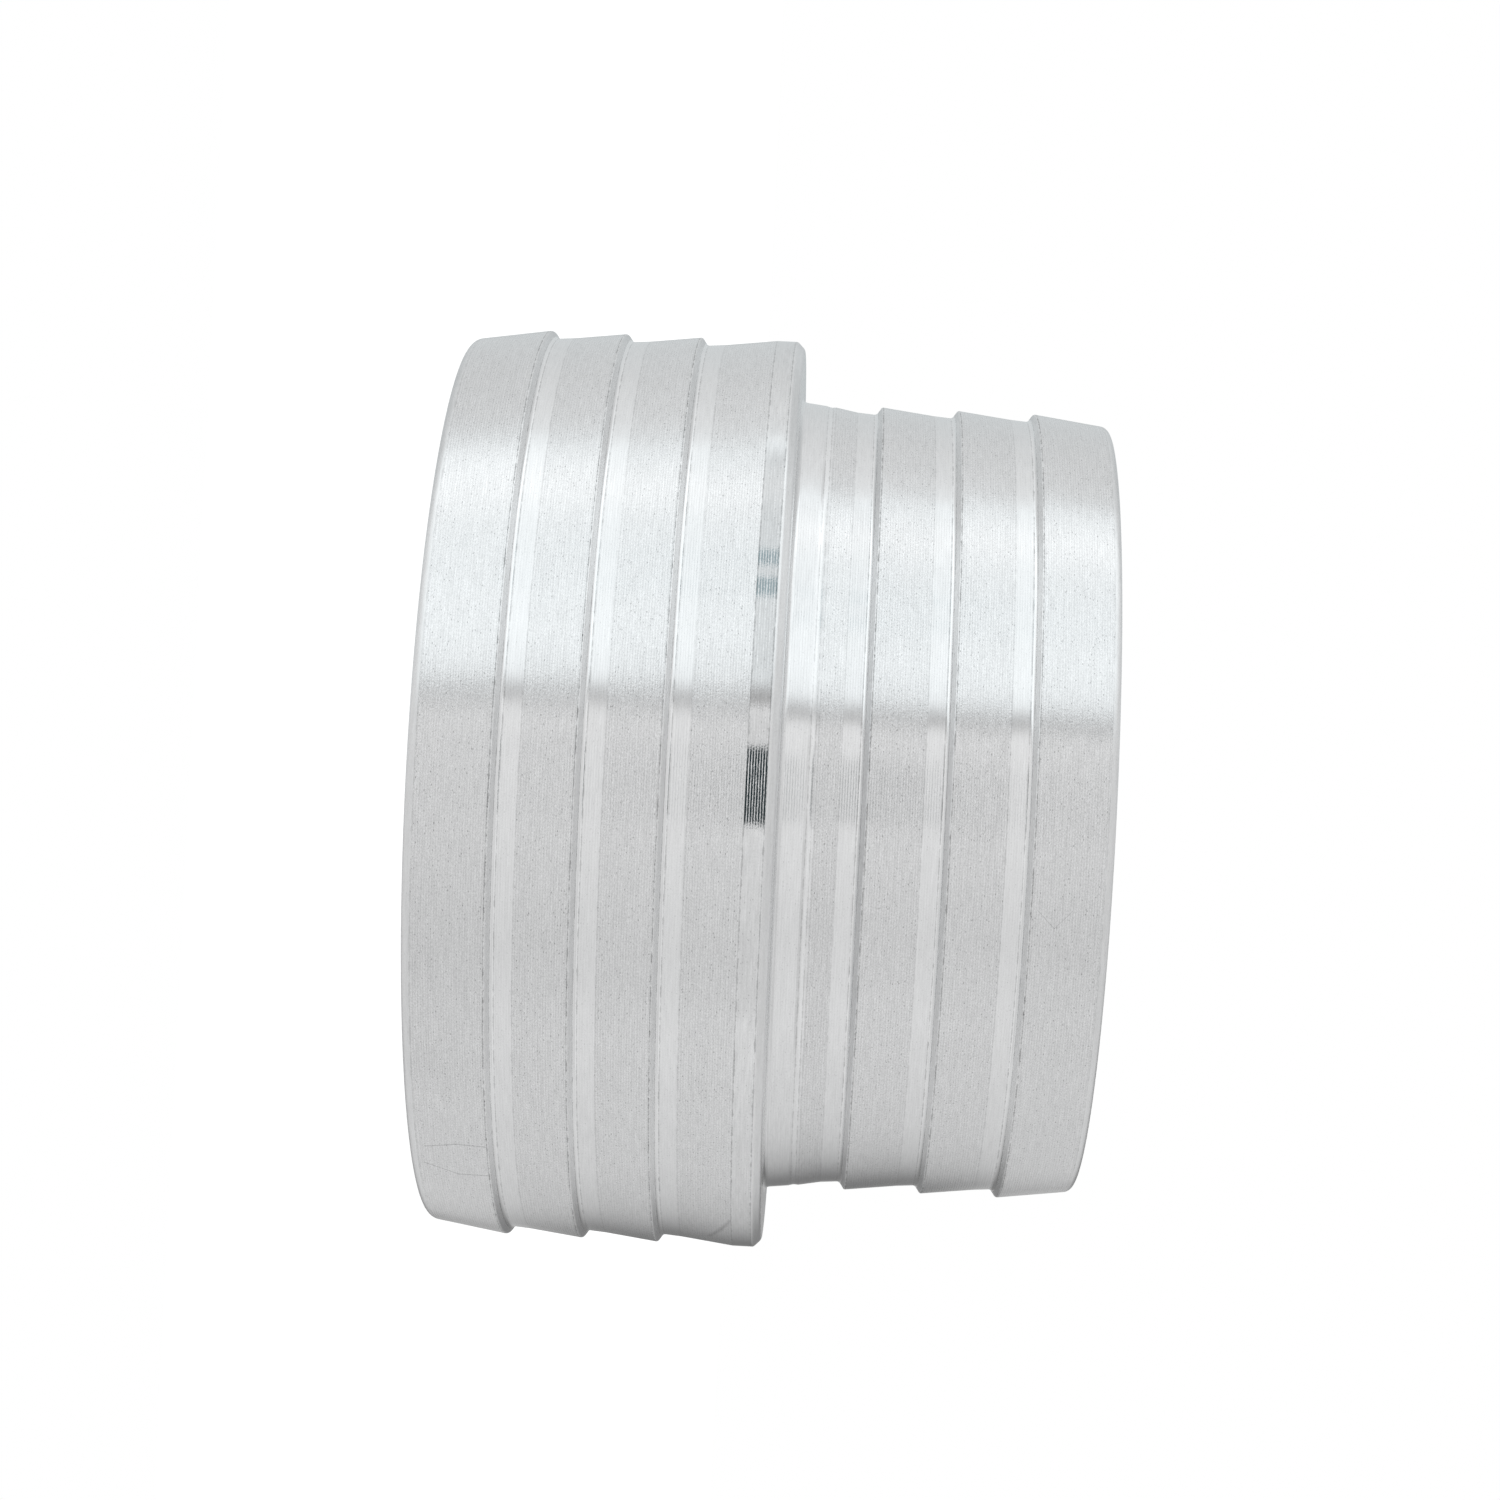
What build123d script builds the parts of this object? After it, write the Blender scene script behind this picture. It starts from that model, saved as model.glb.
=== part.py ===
from build123d import *
import os
from math import radians, tan

# Hose barb reducer: one turned aluminium piece that joins a wide hose to a narrower one.
# Sizes are in millimetres. It stands on its large end, with +Z along its axis towards the
# small end and the origin at the middle of the large end face.

# Lengths along the axis
large_side_length = 16.50     # large end face to shoulder face
small_side_length = 15.25     # shoulder face to small end face
large_lead = 3.84             # large end face to its first barb crest
small_lead = 3.70             # small end face to its first barb crest
land_length = 1.40            # plain cylinder beside the shoulder, with its chamfer

# Diameters outside, and what the radius gains or loses from them
large_od = 45.47              # over the large barbs and the land
shoulder_step = 3.05          # large side's radius less the small side's
small_od = large_od - 2 * shoulder_step
large_lead_drop = 0.60        # lead-in taper of the large end, first crest to end face
small_lead_drop = 0.49        # lead-in taper of the small end
neck_flare = 0.075            # small side's rise over its barbs, where it meets the shoulder

# Barbs: each is a long taper that ends in a steep step facing the shoulder
barb_count = 3
large_barb_pitch = 3.75
small_barb_pitch = 3.79
barb_depth = 0.39             # sharp crest down to the foot of the step
step_angle = 56.0             # degrees from the axis
root_band = 0.95              # tool-wide band at the foot of each step
root_band_angle = 4.5         # degrees from the axis
root_fillet = 0.22            # nose radius that the tool leaves at the foot of the step
crest_rounding = 0.12

# Shoulder and ends
shoulder_chamfer = 0.38
shoulder_edge_rounding = 0.20  # chamfer to land
shoulder_face_rounding = 0.35  # chamfer to shoulder face
neck_fillet = 0.30
neck_band = 1.21              # tool-wide band on the small side, beside the shoulder
neck_band_angle = 6.5         # degrees from the axis
neck_groove_width = 0.47      # shallow groove that ends the band
neck_groove_depth = 0.05      # of its sharp V
neck_groove_rounding = 0.60   # bottom of the V
large_end_rounding = 0.50
small_end_rounding = 0.42

# Waterway: two plain bores joined by a cone
wall = 2.80                   # left between a bore and the feet of the barb steps
large_bore_depth = 12.00
cone_half_angle = 30.0        # degrees from the axis
mouth_chamfer = 0.40


def barbed_end(od, lead, pitch):
    """Outside corners of one hose end as (distance from its end face, radius, rounding)."""
    crest = od / 2
    root = crest - barb_depth
    step_length = barb_depth / tan(radians(step_angle))
    band_rise = root_band * tan(radians(root_band_angle))
    corners = []
    for barb in range(barb_count):
        at = lead + barb * pitch
        corners.append((at, crest, crest_rounding))
        corners.append((at + step_length, root, root_fillet))
        corners.append((at + step_length + root_band, root + band_rise, 0))
    return corners


def neck_groove(radius, z):
    """Corners of the shallow groove that starts at this radius and height."""
    far_radius = radius - neck_groove_width * tan(radians(neck_band_angle))
    bottom = (radius + far_radius) / 2 - neck_groove_depth
    return [
        (radius, z, 0),
        (bottom, z + neck_groove_width / 2, neck_groove_rounding),
        (far_radius, z + neck_groove_width, 0),
    ]


def outside(length):
    """Outside corners from the large end face to the small one as (radius, z, rounding)."""
    large_r = large_od / 2
    small_r = small_od / 2
    shoulder_z = large_side_length
    corners = [(large_r - large_lead_drop, 0, large_end_rounding)]
    for at, radius, rounding in barbed_end(large_od, large_lead, large_barb_pitch):
        corners.append((radius, at, rounding))
    corners.append((large_r, shoulder_z - land_length, 0))
    corners.append((large_r, shoulder_z - shoulder_chamfer, shoulder_edge_rounding))
    corners.append((large_r - shoulder_chamfer, shoulder_z, shoulder_face_rounding))
    neck_r = small_r + neck_flare
    neck_fall = neck_band * tan(radians(neck_band_angle))
    corners.append((neck_r, shoulder_z, neck_fillet))
    corners.extend(neck_groove(neck_r - neck_fall, shoulder_z + neck_band))
    small_barbs = barbed_end(small_od, small_lead, small_barb_pitch)
    for at, radius, rounding in reversed(small_barbs):
        corners.append((radius, length - at, rounding))
    corners.append((small_r - small_lead_drop, length, small_end_rounding))
    return corners


def waterway(length):
    """Inside corners from the small end face back to the large one as (radius, z, rounding)."""
    large_r = large_od / 2 - barb_depth - wall
    small_r = small_od / 2 - barb_depth - wall
    cone_length = (large_r - small_r) / tan(radians(cone_half_angle))
    return [
        (small_r + mouth_chamfer, length, 0),
        (small_r, length - mouth_chamfer, 0),
        (small_r, large_bore_depth + cone_length, 0),
        (large_r, large_bore_depth, 0),
        (large_r, mouth_chamfer, 0),
        (large_r + mouth_chamfer, 0, 0),
    ]


def hose_barb_reducer():
    """The whole turned piece: its half section, revolved about the axis."""
    length = large_side_length + small_side_length
    corners = outside(length) + waterway(length)
    points = [(radius, 0, z) for radius, z, rounding in corners]
    roundings = [rounding for radius, z, rounding in corners]
    section = make_face(FilletPolyline(*points, radius=roundings, close=True))
    return revolve(section, Axis.Z, 360)


os.makedirs("parts", exist_ok=True)
export_step(hose_barb_reducer(), "parts/reducer_body.step")
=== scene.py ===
from math import atan2, cos, pi, radians, sin

import bmesh
import bpy
from bpy.props import FloatProperty, FloatVectorProperty, IntProperty, PointerProperty
from mathutils import Matrix, Vector


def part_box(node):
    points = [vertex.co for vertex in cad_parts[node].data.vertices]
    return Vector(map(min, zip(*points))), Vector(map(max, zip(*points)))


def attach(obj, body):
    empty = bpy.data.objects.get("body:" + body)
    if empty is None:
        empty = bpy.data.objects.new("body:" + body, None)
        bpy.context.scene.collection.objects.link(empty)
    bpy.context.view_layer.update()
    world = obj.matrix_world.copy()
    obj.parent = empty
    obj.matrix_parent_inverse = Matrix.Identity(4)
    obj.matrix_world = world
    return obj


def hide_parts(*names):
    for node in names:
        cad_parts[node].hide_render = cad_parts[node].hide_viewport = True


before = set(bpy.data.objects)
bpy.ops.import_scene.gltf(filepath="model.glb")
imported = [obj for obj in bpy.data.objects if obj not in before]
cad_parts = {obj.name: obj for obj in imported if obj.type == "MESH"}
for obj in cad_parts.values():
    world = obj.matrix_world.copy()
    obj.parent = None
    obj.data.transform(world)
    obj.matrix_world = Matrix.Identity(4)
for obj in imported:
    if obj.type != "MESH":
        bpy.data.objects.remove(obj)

bl_info = {
    "name": "Turned Hose Barb Reducer",
    "version": (1, 0, 0),
    "blender": (4, 5, 0),
    "location": "View3D > Sidebar > Reducer",
    "description": "Finishes the bright turned reducer and sets it in a white light tent",
    "category": "Object",
}

MM = 0.001
MICRON = 1e-6
BODY_NODE = "reducer_body"
METAL_COLOUR = (0.85, 0.855, 0.86)
MIDDLE_HEIGHT = (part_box(BODY_NODE)[0].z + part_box(BODY_NODE)[1].z) / 2

# How the half section's stretches are told apart. Tilts are from the axis.
SEAM_GAP = 1e-7               # metres from the plane of the seam
SAME_POINT = 1e-6             # metres
LONGEST_CHORD = 0.10 * MM     # longer sides are straight, shorter ones belong to a rounding
SLOPE_LENGTH = 1.0 * MM       # a shorter slope is one tool-wide band
IN_LINE = radians(0.3)
LAND_TILT = radians(0.5)
SLOPE_TILT = radians(20)
STEP_TILT = radians(50)
FACE_TILT = radians(80)

# Finish of each kind of stretch. Brightness is of the metal's colour, drawn is how far the gloss
# spreads across the tool marks, speckle and streak vary the colour, and the next value is painted
# shade, darkening the colour in the grooves between tool marks. The heights of the scallops, the
# streaks and the torn grain are in micrometres. Pits is how dark the sparse torn pits are, and
# line how dark the ragged line of painted shade along the corners at the stretch's ends is, with
# its width in millimetres.
FINISH_VALUES = ("brightness", "roughness", "drawn", "speckle", "streak", "groove_shade",
                 "scallop", "streak_height", "grain_height", "pits", "line", "line_width")
FINISHES = {
    "turned_slope": (0.955, 0.23, 0.85, 0.52, 0.24, 0.08, 3.2, 1.8, 4.0, 0.42, 0.10, 0.045),
    "tool_wide_band": (1.01, 0.185, 0.80, 0.16, 0.18, 0.03, 1.6, 1.4, 0.7, 0.15, 0.12, 0.040),
    "neck_groove": (1.04, 0.20, 0.70, 0.14, 0.16, 0.00, 0.0, 1.0, 0.6, 0.15, 0.30, 0.030),
    "bright_land": (0.96, 0.07, 0.40, 0.22, 0.30, 0.05, 1.7, 2.2, 1.4, 0.25, 0.38, 0.045),
    "edge_chamfer": (1.01, 0.36, 0.80, 0.18, 0.20, 0.00, 0.0, 0.0, 1.0, 0.10, 0.22, 0.030),
    "barb_step": (1.02, 0.42, 0.90, 0.22, 0.20, 0.00, 0.0, 0.0, 1.0, 0.20, 0.00, 0.030),
    "barb_root": (1.06, 0.18, 0.70, 0.12, 0.16, 0.00, 0.0, 1.0, 0.5, 0.10, 0.42, 0.030),
    "barb_crest": (0.96, 0.35, 0.30, 0.50, 0.20, 0.00, 0.0, 0.0, 2.0, 0.35, 0.52, 0.045),
    "faced_end": (0.96, 0.24, 0.60, 0.30, 0.20, 0.04, 2.0, 1.6, 1.0, 0.15, 0.15, 0.035),
    "bored_waterway": (0.90, 0.30, 0.70, 0.35, 0.50, 0.04, 2.4, 3.0, 1.0, 0.20, 0.00, 0.030),
}
GLOSS_TURN = 0.25             # quarter turn, so that the gloss spreads across the tool marks

# Grain of the metal. Cells are counted per millimetre, round the part and along its axis.
STREAK_CELLS_ROUND = 0.85
STREAK_CELLS_ALONG = 9
SPECKLE_CELLS = (1, 1, 1.8)   # times the speckle's own grains per millimetre
PIT_CELLS = (1, 1, 1.9)       # times the pits' own cells per millimetre
PIT_STEEPNESS = 12
LINE_CELLS = 1.9
LINE_DETAIL = 3
LINE_ROUGHNESS = 0.75
LINE_GAIN = 5                 # how far the noise moves the line's edge, in line widths
LINE_SHIFT = -1.4             # line widths

# Fine scratches and a smudge beside the land, each from one (height, turn) to another, in
# millimetres from the large end face and degrees from the camera's side towards the top of the
# photograph, and its half width in millimetres
SCRATCHES = (
    ((28.4, -13.0), (29.2, -15.5), 0.022),
    ((29.2, -15.5), (30.0, -13.0), 0.022),
    ((0.8, -49.8), (2.3, -48.2), 0.055),
    ((2.3, -48.2), (3.7, -47.7), 0.055),
    ((0.7, -53.6), (2.3, -54.9), 0.055),
    ((2.3, -54.9), (3.8, -53.9), 0.055),
    ((14.0, -72.8), (15.1, -63.2), 0.180),
)
SCRATCHED_FINISH = "turned_slope"
SCRATCH_DARKNESS = 0.32
MM_PER_DEGREE = 0.38          # round the large barbs

# Light tent: level of its wall by bearing, in degrees from the camera's side towards the top of
# the photograph, and how cool its light is there
TENT_WALL = (
    (-180, 0.50, 0), (-150, 0.56, 0), (-134, 0.69, 0), (-94, 0.71, 0), (-66, 0.80, 0),
    (-51, 0.79, 0), (-40, 0.77, 0), (-16, 0.84, 0), (6, 0.91, 0), (20, 0.91, 0),
    (22.4, 0.47, 0), (24.2, 0.46, 0), (28, 1.08, 0.035), (38, 1.16, 0.035),
    (70, 1.11, 0.035), (80, 1.20, 0.02), (94, 1.10, 0.035), (99, 0.90, 0.02),
    (106, 0.83, 0.01), (124, 0.75, 0.01), (180, 0.60, 0.06),
)
HEADROOM = 2                  # keeps the wall's colours below 1 where they are blended
WALL_SLANT = 0.06             # degrees of bearing that the wall shifts by, per degree of height

# Panes laid over the wall in turn: whether it scales the light or sets its level, by or to what,
# how cool, the middle, half size and softness of its bearing and of its height angle in degrees,
# and whether it is mirrored below the part
MIRRORED = (-1, 1)
AS_GIVEN = (1,)
TENT_PANES = (
    # Away from the softbox the cloth is dimmer above and below the part
    ("scale", 0.82, 0, (-34, 51, 2), (40, 21, 6), MIRRORED),
    ("scale", 0.82, 0, (135, 38, 2), (40, 21, 6), MIRRORED),
    # The room is dark low behind the part
    ("level", 0.15, 0, (-165, 13, 3), (28, 18, 5), MIRRORED),
    # The softbox is brightest along its far edge
    ("scale", 1.12, 0, (88, 9, 3), (25, 8, 2), MIRRORED),
    # The camera's stand dims the cloth level with the part, under the softbox and below it
    ("scale", 0.80, 0, (14, 5.5, 1.5), (-2.5, 5, 1.5), AS_GIVEN),
    ("scale", 0.91, 0, (-27, 26, 1.5), (-2.5, 5, 1.5), AS_GIVEN),
    # The softbox is dimmer along its middle, with two dark ribs
    ("scale", 0.71, 0, (60, 33, 5), (0, 5.5, 2.5), AS_GIVEN),
    ("level", 0.44, 0.22, (59, 2.0, 0.5), (0, 4, 2), AS_GIVEN),
    ("level", 0.44, 0.22, (51, 2.4, 0.5), (0, 4, 2), AS_GIVEN),
)
ALL_ROUND = (0, 400, 2)       # bearing of the tent's top and bottom
CAP_EDGE = (38, 14)           # half height and softness of the tent's top and bottom

# Soft cards near the part, as middle, half size and softness in millimetres
CAMERA_CARD = (Vector((-7, -171, 19)), Vector((26, 0, 14)), (2, 0, 4))
CAMERA_CARD_COOL = 0.5
SHADOW_CARD = (Vector((40, 52, 16)), Vector((0, 37, 15)), (0, 26, 6))
SHEET_REACH = 2               # a card's sheet goes on past its edge by this many softnesses

# Stage and camera
ROUND_SEGMENTS = 128          # of the tent and the floor
FLOOR_SHARE = 0.95            # floor's radius as a share of the tent's
FLOOR_COLOUR = (0.5, 0.5, 0.5, 1)
WHITE = (1, 1, 1, 1)
SCATTERED_LEVEL = 0.7         # of the world, for light that scatters
CAMERA_PLACE = Vector((-2.14, -171.28, 18.95))     # millimetres
CAMERA_RIGHT = Vector((-0.04926, 0.02504, 0.99847))
CAMERA_FORWARD = Vector((0, 0.99969, -0.02507))
SENSOR_WIDTH = 36             # millimetres


class ReducerFinish(bpy.types.PropertyGroup):
    """Metal and tool marks of the reducer"""

    metal_colour: FloatVectorProperty(
        name="Metal colour", description="Colour of the bare aluminium",
        subtype="COLOR", size=3, min=0, max=1, default=METAL_COLOUR)
    feed_pitch: FloatProperty(
        name="Feed pitch", description="Distance between neighbouring tool marks",
        unit="LENGTH", default=0.12 * MM, precision=6)
    segments: IntProperty(
        name="Segments", description="Divisions round the axis", default=360, min=64, max=720)


class ReducerStudio(bpy.types.PropertyGroup):
    """Light tent, floor and camera"""

    tent_radius: FloatProperty(
        name="Tent radius", description="Distance of the tent's wall", unit="LENGTH", default=0.6)
    tent_top: FloatProperty(
        name="Tent top", description="Level of the tent's top", default=0.70)
    tent_bottom: FloatProperty(
        name="Tent bottom", description="Level below the part", default=0.74)
    camera_dark: FloatProperty(
        name="Camera side", description="Level of the dark camera in the metal", default=0.03)
    table_shadow: FloatProperty(
        name="Table shadow", description="Level of the part's shadow in the metal", default=0.20)
    floor_glow: FloatProperty(
        name="Floor glow", description="Share of the floor's white that casts no shadow",
        default=0.78)
    lens: FloatProperty(
        name="Lens", description="Focal length of the camera", unit="CAMERA", default=81.17)


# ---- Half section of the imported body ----

def seam_loop(node):
    """(radius, height) round the half section, from the large end's face up the waterway."""
    points = {}
    for vertex in node.data.vertices:
        if abs(vertex.co.y) < SEAM_GAP and vertex.co.x > 0:
            points[vertex.index] = (
                round(vertex.co.x / SAME_POINT), round(vertex.co.z / SAME_POINT))
    joined = {key: set() for key in points.values()}
    for edge in node.data.edges:
        first, second = edge.vertices
        if first in points and second in points and points[first] != points[second]:
            joined[points[first]].add(points[second])
            joined[points[second]].add(points[first])
    if any(len(neighbours) != 2 for neighbours in joined.values()):
        raise RuntimeError("the packed body's seam isn't one closed half section")
    start = min(joined, key=lambda key: (key[1], key[0]))
    loop = [start]
    at = max(joined[start], key=lambda key: key[1])
    while at != start:
        loop.append(at)
        at = next(key for key in joined[at] if key != loop[-2])
    return [Vector((radius, height)) * SAME_POINT for radius, height in loop]


def without_in_line(loop):
    """The loop without the points that lie on a straight stretch."""
    kept = []
    for index, point in enumerate(loop):
        before = point - loop[index - 1]
        after = loop[(index + 1) % len(loop)] - point
        straight = min(before.length, after.length) > LONGEST_CHORD
        if not (straight and before.angle(after) < IN_LINE):
            kept.append(point)
    return kept


def stretches(loop):
    """The loop's sides, each with its normals, its finish and its place on its stretch."""
    sides = []
    for index, start in enumerate(loop):
        reach = loop[(index + 1) % len(loop)] - start
        sides.append({"start": start, "length": reach.length, "along": reach.normalized(),
                      "straight": reach.length > LONGEST_CHORD,
                      "line_ends": ("from_start", "to_end")})
    for index, side in enumerate(sides):
        before = sides[index - 1]
        after = sides[(index + 1) % len(sides)]
        straights = [straight_from(sides, index, way) for way in (-1, 1)]
        side["normals"] = (side_normal(side, before), side_normal(side, after))
        side["finish"] = finish_of(side, before, after, straights)
        if side["finish"] == "barb_crest":
            # The line is at the crest's slope only, and not where its step begins
            slope_first = tilt_of(straights[0]) < SLOPE_TILT
            side["line_ends"] = ("from_start" if slope_first else "to_end",) * 2
    for way, name in ((1, "from_start"), (-1, "to_end")):
        measure_stretches(sides, way, name)
    return sides


def tilt_of(side):
    """How far a side leans away from the axis."""
    return atan2(abs(side["along"].x), abs(side["along"].y))


def straight_from(sides, index, way):
    """The next straight side from this one, forwards or backwards."""
    index += way
    while not sides[index % len(sides)]["straight"]:
        index += way
    return sides[index % len(sides)]


def measure_stretches(sides, way, name):
    """Gives each side its distance from the end of its stretch that lies against this way."""
    starts = [index for index, side in enumerate(sides)
              if sides[(index - way) % len(sides)]["finish"] != side["finish"]]
    index = starts[0]
    for _ in sides:
        if index in starts:
            distance = 0.0
        sides[index][name] = distance
        distance += sides[index]["length"]
        index = (index + way) % len(sides)


def side_normal(side, neighbour):
    """Unit normal of a side where it meets its neighbour, smooth through roundings."""
    along = side["along"]
    if not side["straight"]:
        if neighbour["straight"]:
            along = neighbour["along"]
        else:
            along = (along + neighbour["along"]).normalized()
    return Vector((-along.y, along.x))


def finish_of(side, before, after, straights):
    """Name of the finish of a side, which has these neighbours and nearest straight sides."""
    along = side["along"]
    if side["straight"]:
        tilt = tilt_of(side)
        if along.y > 0 and tilt < FACE_TILT:
            return "bored_waterway"
        if tilt > FACE_TILT:
            return "faced_end"
        if tilt < LAND_TILT:
            return "bright_land"
        if tilt < SLOPE_TILT:
            return "turned_slope" if side["length"] > SLOPE_LENGTH else "tool_wide_band"
        return "edge_chamfer" if tilt < STEP_TILT else "barb_step"
    turn = before["along"].cross(along) + along.cross(after["along"])
    tilts = [tilt_of(straight) for straight in straights]
    steep = any(STEP_TILT < tilt < FACE_TILT for tilt in tilts)
    if turn <= 0:
        return "barb_crest" if steep else "edge_chamfer"
    if all(tilt < SLOPE_TILT for tilt in tilts):
        return "neck_groove"
    return "barb_root" if steep else "tool_wide_band"


# ---- The turned body ----

def lathe(name, sides, segments, finishes):
    """Mesh of the sides turned round the axis, with their own normals, run and finishes."""
    mesh = bpy.data.meshes.new(name)
    vertices = []
    for side in sides:
        radius, height = side["start"]
        for step in range(segments):
            angle = 2 * pi * step / segments
            vertices.append((radius * cos(angle), radius * sin(angle), height))
    faces = []
    unrolled = []
    normals = []
    runs = []
    from_ends = []
    materials = []
    total = sum(side["length"] for side in sides)
    run = 0.0
    for index, side in enumerate(sides):
        length = side["length"]
        first = index * segments
        second = ((index + 1) % len(sides)) * segments
        for step in range(segments):
            following = (step + 1) % segments
            faces.append((first + step, second + step, second + following, first + following))
            for where, turn in ((0, step), (1, step), (1, step + 1), (0, step + 1)):
                angle = 2 * pi * turn / segments
                outward, upward = side["normals"][where]
                normals.append((outward * cos(angle), outward * sin(angle), upward))
                unrolled.extend((turn / segments, (run + where * length) / total))
                runs.append((run + where * length) / MM)
                distances = {"from_start": side["from_start"] + where * length,
                             "to_end": side["to_end"] + (1 - where) * length}
                from_ends.extend(distances[end] / MM for end in side["line_ends"])
            materials.append(finishes.index(side["finish"]))
        run += length
    mesh.from_pydata(vertices, [], faces)
    mesh.uv_layers.new(name="OFBake").data.foreach_set("uv", unrolled)
    mesh.attributes.new("run", "FLOAT", "CORNER").data.foreach_set("value", runs)
    mesh.attributes.new("from_ends", "FLOAT2", "CORNER").data.foreach_set("vector", from_ends)
    mesh.polygons.foreach_set("material_index", materials)
    mesh.update()
    mesh.normals_split_custom_set(normals)
    return mesh


# ---- Shader trees ----

class Tree:
    """A shader node tree, with short ways to add nodes to it and join them."""

    def __init__(self, node_tree):
        self.nodes = node_tree.nodes
        self.links = node_tree.links

    def fill(self, node, inputs):
        """Joins a node's inputs to sockets, or sets them to values."""
        for name, value in inputs.items():
            if isinstance(value, bpy.types.NodeSocket):
                self.links.new(value, node.inputs[name])
            else:
                node.inputs[name].default_value = value

    def node(self, kind, inputs=None, **settings):
        """A new node with its settings and inputs."""
        node = self.nodes.new("ShaderNode" + kind)
        for name, value in settings.items():
            setattr(node, name, value)
        self.fill(node, inputs or {})
        return node

    def math(self, operation, *values, clamp=False):
        """The result of a sum over numbers or sockets."""
        return self.node("Math", dict(enumerate(values)), operation=operation,
                         use_clamp=clamp).outputs[0]

    def vector(self, operation, *values, output="Vector"):
        """The result of a sum over vectors."""
        return self.node("VectorMath", dict(enumerate(values)),
                         operation=operation).outputs[output]

    def scaled(self, colour, factor):
        """A colour or vector times a factor."""
        return self.node("VectorMath", {0: colour, "Scale": factor},
                         operation="SCALE").outputs["Vector"]

    def angle(self, opposite, adjacent):
        """The angle in degrees whose two sides these are."""
        return self.math("DEGREES", self.math("ARCTAN2", opposite, adjacent))

    def split(self, vector):
        """A vector's X, Y and Z."""
        return self.node("SeparateXYZ", {0: vector}).outputs

    def object_place(self):
        """The place on the part."""
        return self.node("TexCoord").outputs["Object"]

    def cells(self, per_mm):
        """The place on the part, counted in cells."""
        return self.vector("MULTIPLY", self.object_place(), [count / MM for count in per_mm])

    def effect(self, group, inputs=None):
        """What a node group puts out, with these inputs."""
        return self.node("Group", inputs, node_tree=group).outputs


def new_group(name, inputs, outputs):
    """A node group with named number inputs, or vector ones where the default is None."""
    group = bpy.data.node_groups.new(name, "ShaderNodeTree")
    for socket, default in inputs.items():
        kind = "NodeSocketVector" if default is None else "NodeSocketFloat"
        made = group.interface.new_socket(name=socket, in_out="INPUT", socket_type=kind)
        if default is not None:
            made.default_value = default
    for socket in outputs:
        group.interface.new_socket(name=socket, in_out="OUTPUT", socket_type="NodeSocketFloat")
    entry = group.nodes.new("NodeGroupInput").outputs
    leave = group.nodes.new("NodeGroupOutput")
    return group, Tree(group), entry, leave


def tool_marks_group():
    """Height of the scallops that the tool leaves each turn, and light and dark streaks."""
    group, tree, entry, leave = new_group(
        "tool marks", {"Run": 0, "Pitch": 0.12}, ("Height", "Streak"))
    turns = tree.math("DIVIDE", entry["Run"], entry["Pitch"])
    across = tree.math("SUBTRACT", tree.math("FRACT", turns), 0.5)
    scallop = tree.math("MULTIPLY", tree.math("MULTIPLY", across, across), 4)
    at = tree.split(tree.object_place())
    drawn = tree.node("CombineXYZ", {
        "X": tree.math("MULTIPLY", at["X"], STREAK_CELLS_ROUND / MM),
        "Y": tree.math("MULTIPLY", at["Y"], STREAK_CELLS_ROUND / MM),
        "Z": tree.math("MULTIPLY", entry["Run"], STREAK_CELLS_ALONG)})
    streak = tree.node("TexNoise", {"Vector": drawn.outputs[0], "Scale": 1, "Detail": 2})
    tree.fill(leave, {"Height": scallop,
                      "Streak": tree.math("SUBTRACT", streak.outputs["Fac"], 0.5)})
    return group


def speckle_group():
    """Fine light and dark speckle of torn and burnished metal."""
    group, tree, entry, leave = new_group(
        "metal speckle", {"Grains per mm": 12}, ("Speckle",))
    grain = tree.node("TexNoise", {
        "Vector": tree.cells(SPECKLE_CELLS), "Scale": entry["Grains per mm"], "Detail": 1})
    tree.fill(leave, {"Speckle": tree.math("SUBTRACT", grain.outputs["Fac"], 0.5)})
    return group


def pits_group():
    """1 in sparse small torn pits, a little longer round the part than along it."""
    group, tree, entry, leave = new_group(
        "torn pits", {"Cells per mm": 3.2, "Pit radius": 0.17}, ("Pits",))
    cells = tree.node("TexVoronoi", {
        "Vector": tree.cells(PIT_CELLS), "Scale": entry["Cells per mm"]})
    inside = tree.math("SUBTRACT", entry["Pit radius"], cells.outputs["Distance"])
    tree.fill(leave, {"Pits": tree.math("MULTIPLY", inside, PIT_STEEPNESS, clamp=True)})
    return group


def painted_corner_shade_group():
    """1 along a ragged line of painted shade at the corners at a stretch's ends, over the
    distances to both ends in mm.
    """
    group, tree, entry, leave = new_group(
        "painted corner shade", {"From ends": None, "Width": 0.05}, ("Line",))
    wander = tree.node("TexNoise", {
        "Vector": tree.object_place(), "Scale": LINE_CELLS / MM, "Detail": LINE_DETAIL,
        "Roughness": LINE_ROUGHNESS})
    ends = tree.split(entry["From ends"])
    near = tree.math("MINIMUM", ends["X"], ends["Y"])
    share = tree.math("DIVIDE", near, entry["Width"])
    ragged = tree.math("MULTIPLY_ADD", wander.outputs["Fac"], LINE_GAIN, LINE_SHIFT)
    tree.fill(leave, {"Line": tree.math("SUBTRACT", ragged, share, clamp=True)})
    return group


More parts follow.
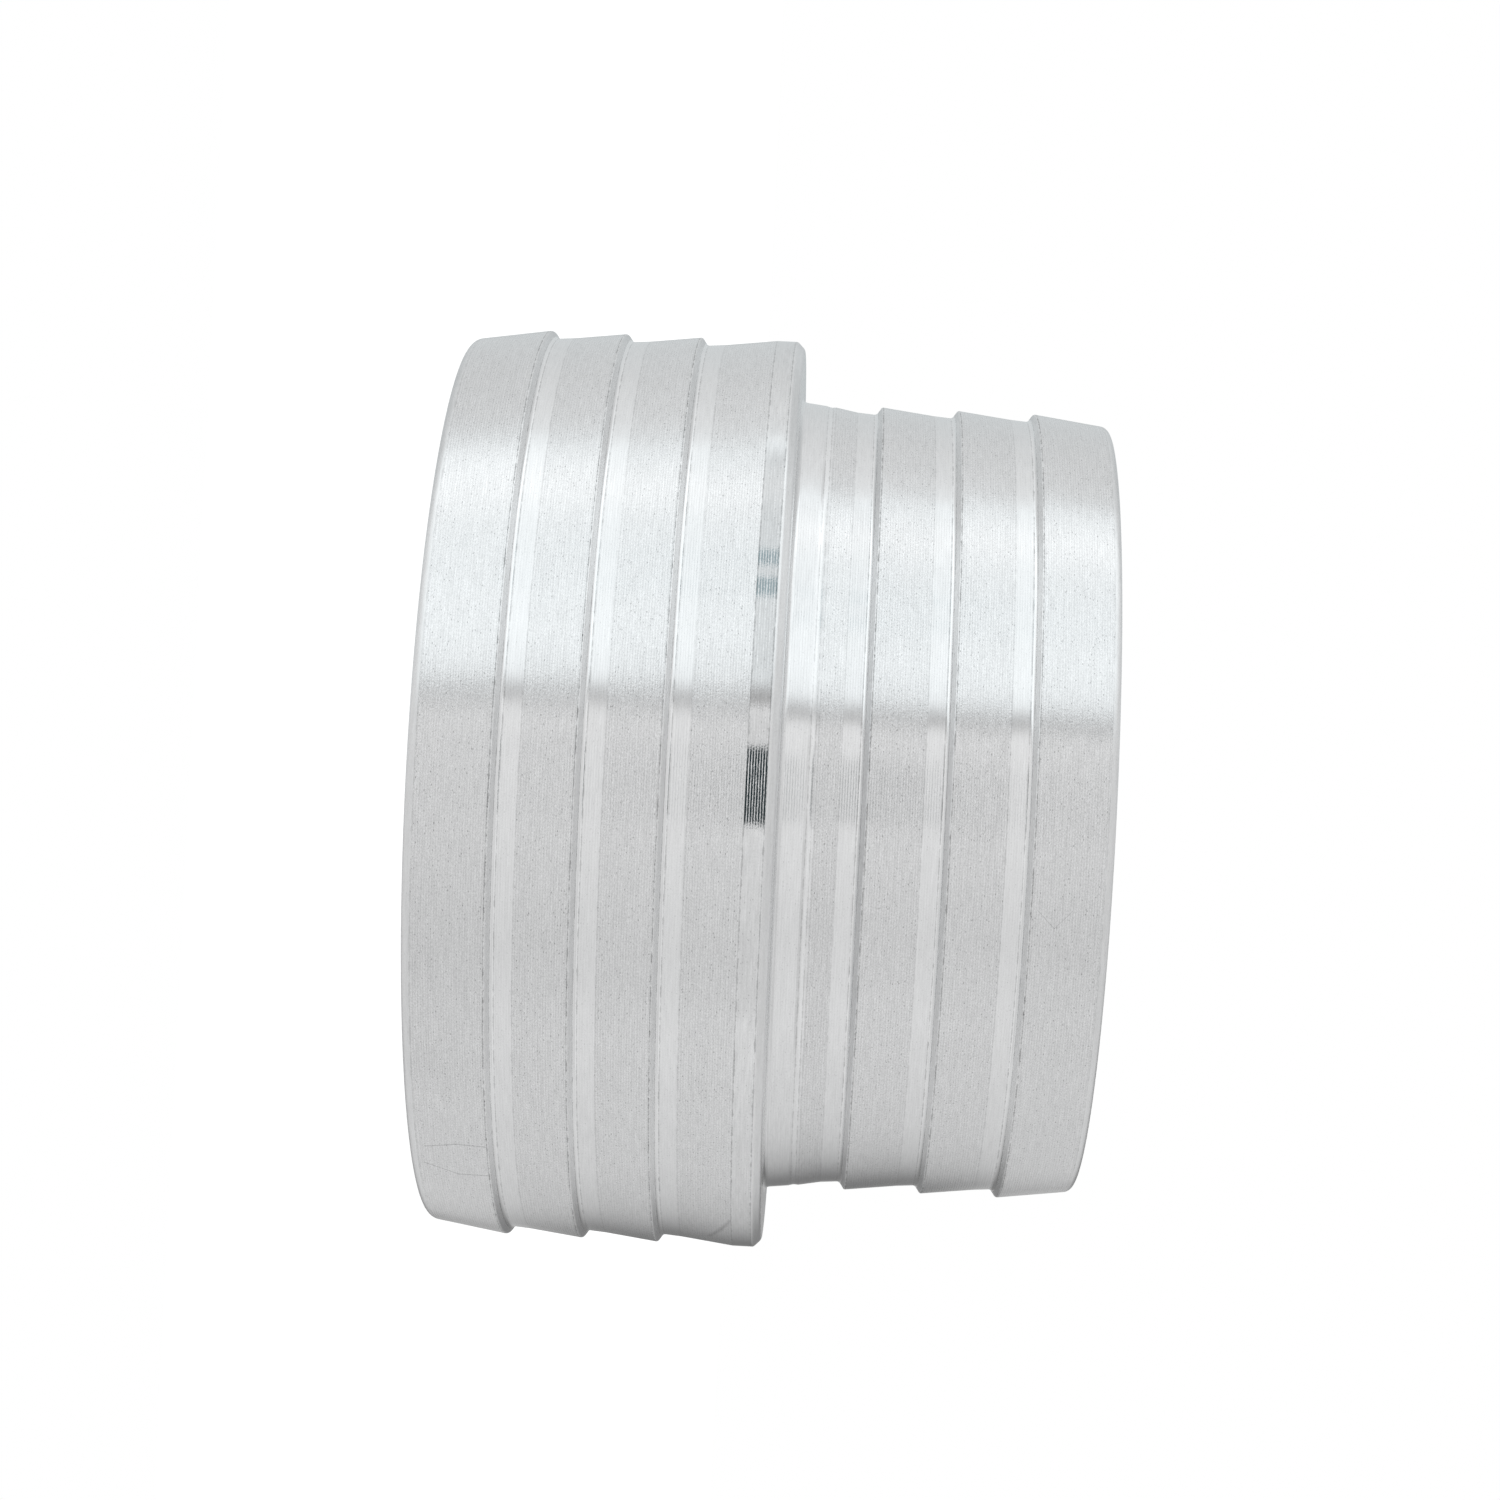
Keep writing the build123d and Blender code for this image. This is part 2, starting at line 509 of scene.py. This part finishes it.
def scratch_group():
    """1 along a fine straight scratch between two places on the slopes."""
    group, tree, entry, leave = new_group(
        "fine scratch", {"Start": None, "End": None, "Width": 0.04}, ("Scratch",))
    at = tree.split(tree.object_place())
    turn = tree.angle(tree.math("MULTIPLY", at["X"], -1), tree.math("MULTIPLY", at["Y"], -1))
    here = tree.node("CombineXYZ", {
        "X": tree.math("DIVIDE", at["Z"], MM),
        "Y": tree.math("MULTIPLY", turn, MM_PER_DEGREE)}).outputs[0]
    reach = tree.vector("SUBTRACT", entry["End"], entry["Start"])
    off = tree.vector("SUBTRACT", here, entry["Start"])
    share = tree.math("DIVIDE", tree.vector("DOT_PRODUCT", off, reach, output="Value"),
                      tree.vector("DOT_PRODUCT", reach, reach, output="Value"), clamp=True)
    nearest = tree.scaled(reach, share)
    away = tree.vector("LENGTH", tree.vector("SUBTRACT", off, nearest), output="Value")
    inside = tree.math("SUBTRACT", entry["Width"], away)
    tree.fill(leave, {"Scratch": tree.math("DIVIDE", inside, entry["Width"], clamp=True)})
    return group


WINDOW_SIDES = ("Across", "Middle across", "Half width", "Side softness")
WINDOW_ENDS = ("Up", "Middle up", "Half height", "End softness")
WINDOW_DEFAULTS = (0, 0, 10, 2)


def soft_window_group():
    """1 inside a window, by two angles or two lengths, falling to 0 over its soft edge."""
    group, tree, entry, leave = new_group(
        "soft window", dict(zip(WINDOW_SIDES + WINDOW_ENDS, WINDOW_DEFAULTS * 2)), ("Window",))
    shares = []
    for where, middle, half, soft in (WINDOW_SIDES, WINDOW_ENDS):
        off = tree.math("ABSOLUTE", tree.math("SUBTRACT", entry[where], entry[middle]))
        fall = tree.math("DIVIDE", tree.math("SUBTRACT", off, entry[half]), entry[soft])
        ramp = tree.node("MapRange", {"Value": fall, "From Min": 1, "From Max": -1},
                         interpolation_type="SMOOTHSTEP")
        shares.append(ramp.outputs["Result"])
    tree.fill(leave, {"Window": tree.math("MULTIPLY", *shares)})
    return group


def inside_window(tree, window, across, up, sides, ends):
    """How far a place is inside a window, with middle, half size and softness each way."""
    values = (across, *sides, up, *ends)
    return tree.effect(window, dict(zip(WINDOW_SIDES + WINDOW_ENDS, values)))["Window"]


# ---- Materials ----

def new_material(name):
    """A new material and its shader tree."""
    material = bpy.data.materials.new(name)
    material.use_nodes = True
    return material, Tree(material.node_tree)


def metal(name, look, finish, groups):
    """Bare turned aluminium with one kind of tool finish."""
    look = dict(zip(FINISH_VALUES, look))
    material, tree = new_material(name)
    run = tree.node("Attribute", attribute_name="run").outputs["Fac"]
    ends = tree.node("Attribute", attribute_name="from_ends").outputs["Vector"]
    marks = tree.effect(groups["marks"], {"Run": run, "Pitch": finish.feed_pitch / MM})
    speckle = tree.effect(groups["speckle"])["Speckle"]
    pits = tree.effect(groups["pits"])["Pits"]
    line = tree.effect(
        groups["painted corner shade"], {"From ends": ends, "Width": look["line_width"]})["Line"]

    # Tone of the colour: random streaks, speckle, torn pits and scratches, with painted shade in
    # the grooves between tool marks and along the corners at the stretch's ends
    tone_and_painted_shade = tree.math("MULTIPLY", marks["Streak"], look["streak"])
    for mask, strength in ((speckle, look["speckle"]), (pits, -look["pits"]),
                           (marks["Height"], -look["groove_shade"]), (line, -look["line"])):
        tone_and_painted_shade = tree.math("MULTIPLY_ADD", mask, strength, tone_and_painted_shade)
    for start, end, width in SCRATCHES if name == SCRATCHED_FINISH else ():
        scratch = tree.effect(groups["scratch"], {
            "Start": on_slope(*start), "End": on_slope(*end), "Width": width})["Scratch"]
        tone_and_painted_shade = tree.math("MULTIPLY_ADD", scratch, -SCRATCH_DARKNESS, tone_and_painted_shade)

    height = tree.math("MULTIPLY", marks["Height"], look["scallop"])
    for relief, strength in ((marks["Streak"], look["streak_height"]),
                             (speckle, look["grain_height"])):
        height = tree.math("MULTIPLY_ADD", relief, strength, height)

    colour = [channel * look["brightness"] for channel in finish.metal_colour]
    roughness = look["roughness"]
    tree.fill(tree.nodes["Principled BSDF"], {
        "Base Color": tree.scaled(colour, tree.math("ADD", tone_and_painted_shade, 1)),
        "Metallic": 1,
        "Roughness": tree.math("MULTIPLY_ADD", speckle, roughness / 2, roughness),
        "Normal": tree.node("Bump", {"Height": height, "Distance": MICRON}).outputs[0],
        "Anisotropic": look["drawn"],
        "Anisotropic Rotation": GLOSS_TURN,
        "Tangent": tree.node("Tangent", direction_type="RADIAL", axis="Z").outputs[0]})
    return material


def on_slope(height, turn):
    """A scratch's end as the scratch group takes it, in millimetres."""
    return (height, turn * MM_PER_DEGREE, 0)


def tinted(level, cool):
    """A level of light as a colour, cooler the higher cool is."""
    return (level * (1 - cool), level, level * (1 + cool / 3), 1)


def tent_material(studio, window):
    """Glowing cloth of the tent: its wall, the panes over it, its top and its bottom."""
    material, tree = new_material("light tent")
    material.cycles.emission_sampling = "NONE"
    tree.nodes.clear()
    at = tree.split(tree.node("NewGeometry").outputs["Position"])
    west = tree.math("MULTIPLY", at["X"], -1)
    front = tree.math("MULTIPLY", at["Y"], -1)
    rise = tree.math("SUBTRACT", at["Z"], MIDDLE_HEIGHT)
    flat = tree.node("CombineXYZ", {"X": west, "Y": front}).outputs[0]
    height = tree.angle(rise, tree.vector("LENGTH", flat, output="Value"))
    bearing = tree.math("MULTIPLY_ADD", height, -WALL_SLANT, tree.angle(west, front))

    light = wall_light(tree, bearing)
    caps = tuple(("level", level, 0, ALL_ROUND, (end, *CAP_EDGE), AS_GIVEN)
                 for level, end in ((studio.tent_top, 90), (studio.tent_bottom, -90)))
    for change, value, cool, sides, (middle, *edge), ways in TENT_PANES + caps:
        for way in ways:
            inside = inside_window(tree, window, bearing, height, sides, (middle * way, *edge))
            seen = tree.scaled(light, value) if change == "scale" else tinted(value, cool)
            light = tree.node("Mix", {"Factor": inside, "A": light, "B": seen},
                              data_type="RGBA").outputs["Result"]
    glow = tree.node("Emission", {"Color": light})
    tree.node("OutputMaterial", {"Surface": glow.outputs[0]})
    return material


def wall_light(tree, bearing):
    """Light of the tent's wall at a bearing in degrees."""
    wall = tree.node("ValToRGB", {"Fac": tree.math("MULTIPLY_ADD", bearing, 1 / 360, 0.5)})
    stops = wall.color_ramp.elements
    already_there = len(stops)
    brightest = HEADROOM * max(level for turn, level, cool in TENT_WALL)
    for index, (turn, level, cool) in enumerate(TENT_WALL):
        where = (turn + 180) / 360
        stop = stops[index] if index < already_there else stops.new(where)
        stop.position = where
        stop.color = tinted(level / brightest, cool)
    return tree.scaled(wall.outputs["Color"], brightest)


def card_material(name, level, cool, card, axes, window):
    """A dark card with soft edges, as the metal sees it, over two of the three axes."""
    material, tree = new_material(name)
    tree.nodes.clear()
    at = tree.split(tree.node("NewGeometry").outputs["Position"])
    across, up = (at[axis] for axis in axes)
    sides, ends = ([size[axis] * MM for size in card] for axis in axes)
    inside = inside_window(tree, window, across, up, sides, ends)
    clear = tree.node("BsdfTransparent").outputs[0]
    dark = tree.node("Emission", {"Color": tinted(level, cool)}).outputs[0]
    mix = tree.node("MixShader", {"Fac": inside, 1: clear, 2: dark})
    tree.node("OutputMaterial", {"Surface": mix.outputs[0]})
    return material


def seen_directly(tree):
    """1 for what the camera sees, directly or in a mirror, and 0 for light that scatters."""
    path = tree.node("LightPath").outputs
    seen = tree.math("MAXIMUM", path["Is Camera Ray"], path["Is Glossy Ray"])
    return tree.math("MAXIMUM", seen, path["Is Transmission Ray"])


def floor_material(studio):
    """Matt white floor that keeps the part's shadow."""
    material, tree = new_material("white floor")
    tree.fill(tree.nodes["Principled BSDF"], {
        "Base Color": FLOOR_COLOUR,
        "Roughness": 1,
        "Specular IOR Level": 0,
        "Emission Color": WHITE,
        "Emission Strength": tree.math("MULTIPLY", seen_directly(tree), studio.floor_glow)})
    return material


def white_world():
    """White behind everything, and a plain level for light that scatters."""
    world = bpy.data.worlds.new("white studio")
    bpy.context.scene.world = world
    world.use_nodes = True
    tree = Tree(world.node_tree)
    tree.fill(tree.nodes["Background"], {
        "Color": WHITE,
        "Strength": tree.math("MULTIPLY_ADD", seen_directly(tree), 1 - SCATTERED_LEVEL,
                              SCATTERED_LEVEL)})


# ---- Stage ----

def card_sheet(shape, card, axes):
    """A sheet over a card's two axes, that reaches past its soft edges."""
    middle, half, soft = card
    corners = []
    for signs in ((-1, -1), (1, -1), (1, 1), (-1, 1)):
        corner = middle.copy()
        for axis, sign in zip(axes, signs):
            corner[axis] += sign * (half[axis] + SHEET_REACH * soft[axis])
        corners.append(shape.verts.new(corner * MM))
    shape.faces.new(corners)


def new_stage_mesh(name, material, unseen_by, fill):
    """A stage object whose mesh a bmesh call fills, and that some kinds of ray miss."""
    shape = bmesh.new()
    fill(shape)
    mesh = bpy.data.meshes.new(name)
    shape.to_mesh(mesh)
    shape.free()
    mesh.materials.append(material)
    made = bpy.data.objects.new(name, mesh)
    bpy.context.scene.collection.objects.link(made)
    for ray in unseen_by:
        setattr(made, "visible_" + ray, False)
    return made


def set_camera(scene, lens):
    """The photograph's camera."""
    camera = bpy.data.cameras.new("camera")
    camera.lens = lens
    camera.sensor_width = SENSOR_WIDTH
    holder = bpy.data.objects.new("camera", camera)
    right = CAMERA_RIGHT.normalized()
    forward = (CAMERA_FORWARD - right * CAMERA_FORWARD.dot(right)).normalized()
    upward = right.cross(forward)
    turned = Matrix((right, upward, -forward)).transposed().to_4x4()
    holder.matrix_world = Matrix.Translation(CAMERA_PLACE * MM) @ turned
    scene.collection.objects.link(holder)
    scene.camera = holder


# ---- Operators ----

class REDUCER_OT_turned_body(bpy.types.Operator):
    """Build the reducer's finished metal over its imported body"""

    bl_idname = "reducer.turned_body"
    bl_label = "Turned Body"

    def execute(self, context):
        finish = context.scene.reducer_finish
        names = list(FINISHES)
        sides = stretches(without_in_line(seam_loop(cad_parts[BODY_NODE])))
        mesh = lathe("turned_body", sides, finish.segments, names)
        groups = {"marks": tool_marks_group(), "speckle": speckle_group(),
                  "pits": pits_group(), "painted corner shade": painted_corner_shade_group(),
                  "scratch": scratch_group()}
        for name in names:
            mesh.materials.append(metal(name, FINISHES[name], finish, groups))
        piece = bpy.data.objects.new("turned_body", mesh)
        context.scene.collection.objects.link(piece)
        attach(piece, "root")
        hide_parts(BODY_NODE)
        return {"FINISHED"}


class REDUCER_OT_studio(bpy.types.Operator):
    """Set up the light tent, the floor and the camera"""

    bl_idname = "reducer.studio"
    bl_label = "Studio"

    def execute(self, context):
        scene = context.scene
        studio = scene.reducer_studio
        window = soft_window_group()
        tent = new_stage_mesh(
            "light_tent", tent_material(studio, window), ("camera", "shadow"),
            lambda shape: bmesh.ops.create_uvsphere(
                shape, u_segments=ROUND_SEGMENTS, v_segments=ROUND_SEGMENTS // 2,
                radius=studio.tent_radius))
        tent.location.z = MIDDLE_HEIGHT
        new_stage_mesh(
            "white_floor", floor_material(studio), ("glossy",),
            lambda shape: bmesh.ops.create_circle(
                shape, cap_ends=True, segments=ROUND_SEGMENTS,
                radius=studio.tent_radius * FLOOR_SHARE))
        for name, level, cool, card, axes in (
                ("camera_card", studio.camera_dark, CAMERA_CARD_COOL, CAMERA_CARD, (0, 2)),
                ("table_shadow_card", studio.table_shadow, 0, SHADOW_CARD, (1, 2))):
            new_stage_mesh(
                name, card_material(name, level, cool, card, axes, window),
                ("camera", "shadow", "diffuse"), lambda shape: card_sheet(shape, card, axes))
        white_world()
        set_camera(scene, studio.lens)
        scene.view_settings.view_transform = "Standard"
        return {"FINISHED"}


class REDUCER_PT_panel(bpy.types.Panel):
    """Sizes, colours and steps of the reducer"""

    bl_idname = "REDUCER_PT_panel"
    bl_label = "Hose Barb Reducer"
    bl_space_type = "VIEW_3D"
    bl_region_type = "UI"
    bl_category = "Reducer"

    def draw(self, context):
        layout = self.layout
        for group in (context.scene.reducer_finish, context.scene.reducer_studio):
            for name in group.__annotations__:
                layout.prop(group, name)
        for operator in OPERATORS:
            layout.operator(operator.bl_idname)


OPERATORS = (REDUCER_OT_turned_body, REDUCER_OT_studio)
CLASSES = (ReducerFinish, ReducerStudio, *OPERATORS, REDUCER_PT_panel)


def register():
    for kind in CLASSES:
        bpy.utils.register_class(kind)
    bpy.types.Scene.reducer_finish = PointerProperty(type=ReducerFinish)
    bpy.types.Scene.reducer_studio = PointerProperty(type=ReducerStudio)


def unregister():
    del bpy.types.Scene.reducer_studio
    del bpy.types.Scene.reducer_finish
    for kind in reversed(CLASSES):
        bpy.utils.unregister_class(kind)


def main():
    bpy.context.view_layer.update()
    register()
    bpy.ops.reducer.turned_body()
    bpy.ops.reducer.studio()


if __name__ == "__main__":
    main()
